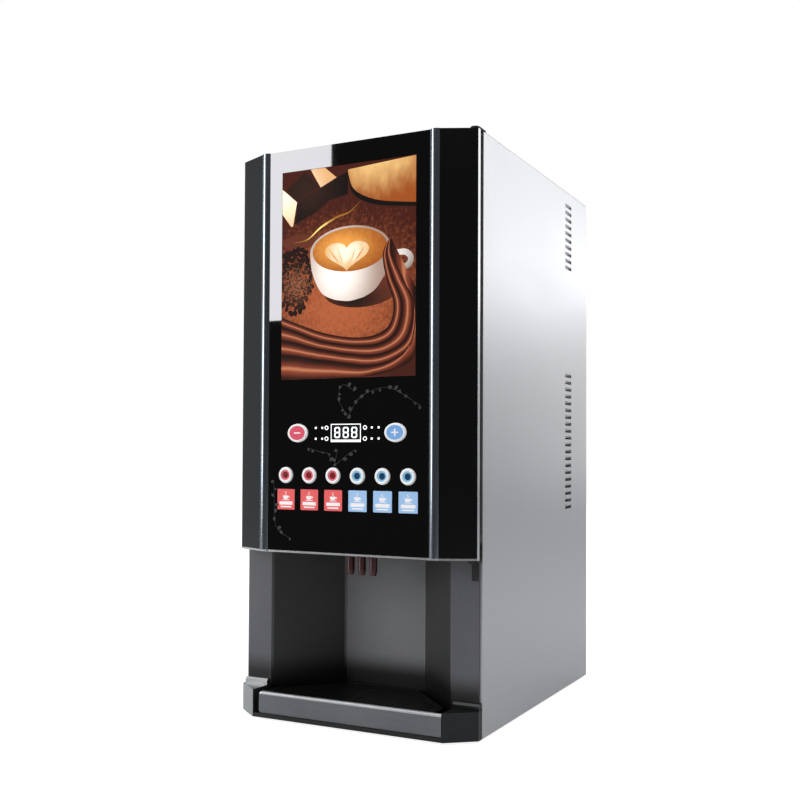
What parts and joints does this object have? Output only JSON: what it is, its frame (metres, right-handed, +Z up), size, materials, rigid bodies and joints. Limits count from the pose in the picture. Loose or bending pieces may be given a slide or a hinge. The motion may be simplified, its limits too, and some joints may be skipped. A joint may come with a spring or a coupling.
{
  "type": "hot coffee vending machine",
  "caption": "Table-top hot drink vending machine: steel cabinet, hinged front door with drink buttons and lit panel, slanted cup bay with nozzles, and a pull-out drip tray.",
  "frame": {"origin": "middle of the footprint, on the surface that the machine stands on", "axes": "+Z up; +X to the right of a person facing the machine; +Y from the door into the depth of the machine"},
  "size_m": [0.32, 0.45, 0.7],
  "materials": {
    "stainless": "brushed",
    "galvanised": "satin zinc",
    "chassis_black": "powder coated",
    "rubber": "matt",
    "bay_grey": "fine moulded grain",
    "plinth_silver": "silver paint",
    "tray_grey": "satin",
    "grille_black": "moulded",
    "nozzle_red": "moulded",
    "door_paint": "satin dark",
    "bright_trim": "anodised",
    "panel_black": "gloss",
    "poster_print": "printed film",
    "white_plastic": "moulded",
    "display_dark": "tinted window",
    "lamp_clear": "clear lens",
    "label_red": "printed",
    "button_red": "moulded",
    "button_blue": "moulded",
    "circuit_green": "solder mask",
    "foam": "foam",
    "clear_plastic": "clouded",
    "lid_blue": "moulded",
    "auger_white": "moulded",
    "motor_steel": "plated",
    "bowl_plastic": "moulded",
    "silicone": "translucent",
    "boiler_steel": "brushed",
    "brass": "turned",
    "chrome": "polished",
    "inlet_black": "moulded",
    "screw_steel": "plated"
  },
  "bodies": {
    "cabinet": {"cabinet_shell": "stainless", "rear_panel": "galvanised", "rear_screws": "screw_steel", "base_pan": "chassis_black", "feet": "rubber", "bay_surround": "bay_grey", "corner_blocks": "plinth_silver", "nozzles": "nozzle_red", "nozzle_block": "white_plastic", "hinge_brackets": "galvanised", "lock_barrel": "chrome", "shelf": "galvanised", "auger_motors": "motor_steel", "mixer_panel": "galvanised", "mixing_bowls": "bowl_plastic", "whipper_motors": "motor_steel", "drink_hoses": "silicone", "boiler": "boiler_steel", "pump": "brass", "valve_block": "white_plastic", "power_supply": "galvanised", "main_board": "circuit_green", "power_inlet": "inlet_black", "water_fittings": "brass", "canister_1": "clear_plastic", "canister_2": "clear_plastic", "canister_3": "clear_plastic"},
    "door": {"door_frame": "door_paint", "edge_band": "bright_trim", "corner_trims": "bright_trim", "front_panel": "panel_black", "poster": "poster_print", "light_box": "white_plastic", "display": "display_dark", "indicator_lamps": "lamp_clear", "drink_labels": "label_red", "control_board": "circuit_green", "inner_cover": "galvanised", "door_gasket": "foam", "lock_strike": "galvanised"},
    "drip_tray": {"drip_tray": "tray_grey"},
    "drip_grille": {"drip_grille": "grille_black"},
    "lock_cam": {"lock_cam": "galvanised"},
    "setting_key_left": {"setting_key_left": "button_red"},
    "setting_key_right": {"setting_key_right": "button_blue"},
    "drink_button_1": {"drink_button_1": "button_red"},
    "drink_button_2": {"drink_button_2": "button_red"},
    "drink_button_3": {"drink_button_3": "button_red"},
    "drink_button_4": {"drink_button_4": "button_blue"},
    "drink_button_5": {"drink_button_5": "button_blue"},
    "drink_button_6": {"drink_button_6": "button_blue"},
    "canister_lid_1": {"canister_lid_1": "lid_blue"},
    "auger_1": {"auger_1": "auger_white"},
    "whipper_1": {"whipper_1": "auger_white"},
    "canister_lid_2": {"canister_lid_2": "lid_blue"},
    "auger_2": {"auger_2": "auger_white"},
    "whipper_2": {"whipper_2": "auger_white"},
    "canister_lid_3": {"canister_lid_3": "lid_blue"},
    "auger_3": {"auger_3": "auger_white"},
    "whipper_3": {"whipper_3": "auger_white"}
  },
  "joints": [
    {"name": "door_hinge", "type": "hinge", "parent": "cabinet", "child": "door", "pos_m": [0.1545, -0.1995, 0.45], "axis": [0, 0, 1], "range_deg": [0, 105]},
    {"name": "drink_button_1_press", "type": "slide", "parent": "door", "child": "drink_button_1", "axis": [0, 1, 0], "range_m": [0, 0.0015], "stiffness_N_per_m": 400, "springref_m": -0.001},
    {"name": "drink_button_2_press", "type": "slide", "parent": "door", "child": "drink_button_2", "axis": [0, 1, 0], "range_m": [0, 0.0015], "stiffness_N_per_m": 400, "springref_m": -0.001},
    {"name": "drink_button_3_press", "type": "slide", "parent": "door", "child": "drink_button_3", "axis": [0, 1, 0], "range_m": [0, 0.0015], "stiffness_N_per_m": 400, "springref_m": -0.001},
    {"name": "drink_button_4_press", "type": "slide", "parent": "door", "child": "drink_button_4", "axis": [0, 1, 0], "range_m": [0, 0.0015], "stiffness_N_per_m": 400, "springref_m": -0.001},
    {"name": "drink_button_5_press", "type": "slide", "parent": "door", "child": "drink_button_5", "axis": [0, 1, 0], "range_m": [0, 0.0015], "stiffness_N_per_m": 400, "springref_m": -0.001},
    {"name": "drink_button_6_press", "type": "slide", "parent": "door", "child": "drink_button_6", "axis": [0, 1, 0], "range_m": [0, 0.0015], "stiffness_N_per_m": 400, "springref_m": -0.001},
    {"name": "setting_key_left_press", "type": "slide", "parent": "door", "child": "setting_key_left", "axis": [0, 1, 0], "range_m": [0, 0.0015], "stiffness_N_per_m": 400, "springref_m": -0.001},
    {"name": "setting_key_right_press", "type": "slide", "parent": "door", "child": "setting_key_right", "axis": [0, 1, 0], "range_m": [0, 0.0015], "stiffness_N_per_m": 400, "springref_m": -0.001},
    {"name": "drip_tray_slide", "type": "slide", "parent": "cabinet", "child": "drip_tray", "axis": [0, -1, 0], "range_m": [0, 0.11]},
    {"name": "drip_grille_lift", "type": "slide", "parent": "drip_tray", "child": "drip_grille", "axis": [0, 0, 1], "range_m": [0, 0.06]},
    {"name": "lock_turn", "type": "hinge", "parent": "cabinet", "child": "lock_cam", "pos_m": [-0.1394, -0.163, 0.44], "axis": [1, 0, 0], "range_deg": [0, 90]},
    {"name": "canister_lid_1_flap", "type": "hinge", "parent": "cabinet", "child": "canister_lid_1", "pos_m": [-0.102, -0.0305, 0.6224], "axis": [-1, 0, 0], "range_deg": [0, 90]},
    {"name": "canister_lid_2_flap", "type": "hinge", "parent": "cabinet", "child": "canister_lid_2", "pos_m": [0, -0.0305, 0.6224], "axis": [-1, 0, 0], "range_deg": [0, 90]},
    {"name": "canister_lid_3_flap", "type": "hinge", "parent": "cabinet", "child": "canister_lid_3", "pos_m": [0.102, -0.0305, 0.6224], "axis": [-1, 0, 0], "range_deg": [0, 90]},
    {"name": "auger_1_spin", "type": "hinge", "parent": "cabinet", "child": "auger_1", "pos_m": [-0.102, 0, 0.5], "axis": [0, 1, 0], "continuous": true},
    {"name": "auger_2_spin", "type": "hinge", "parent": "cabinet", "child": "auger_2", "pos_m": [0, 0, 0.5], "axis": [0, 1, 0], "continuous": true},
    {"name": "auger_3_spin", "type": "hinge", "parent": "cabinet", "child": "auger_3", "pos_m": [0.102, 0, 0.5], "axis": [0, 1, 0], "continuous": true},
    {"name": "whipper_1_spin", "type": "hinge", "parent": "cabinet", "child": "whipper_1", "pos_m": [-0.102, -0.12, 0.4], "axis": [0, 1, 0], "continuous": true},
    {"name": "whipper_2_spin", "type": "hinge", "parent": "cabinet", "child": "whipper_2", "pos_m": [0, -0.12, 0.4], "axis": [0, 1, 0], "continuous": true},
    {"name": "whipper_3_spin", "type": "hinge", "parent": "cabinet", "child": "whipper_3", "pos_m": [0.102, -0.12, 0.4], "axis": [0, 1, 0], "continuous": true}
  ]
}
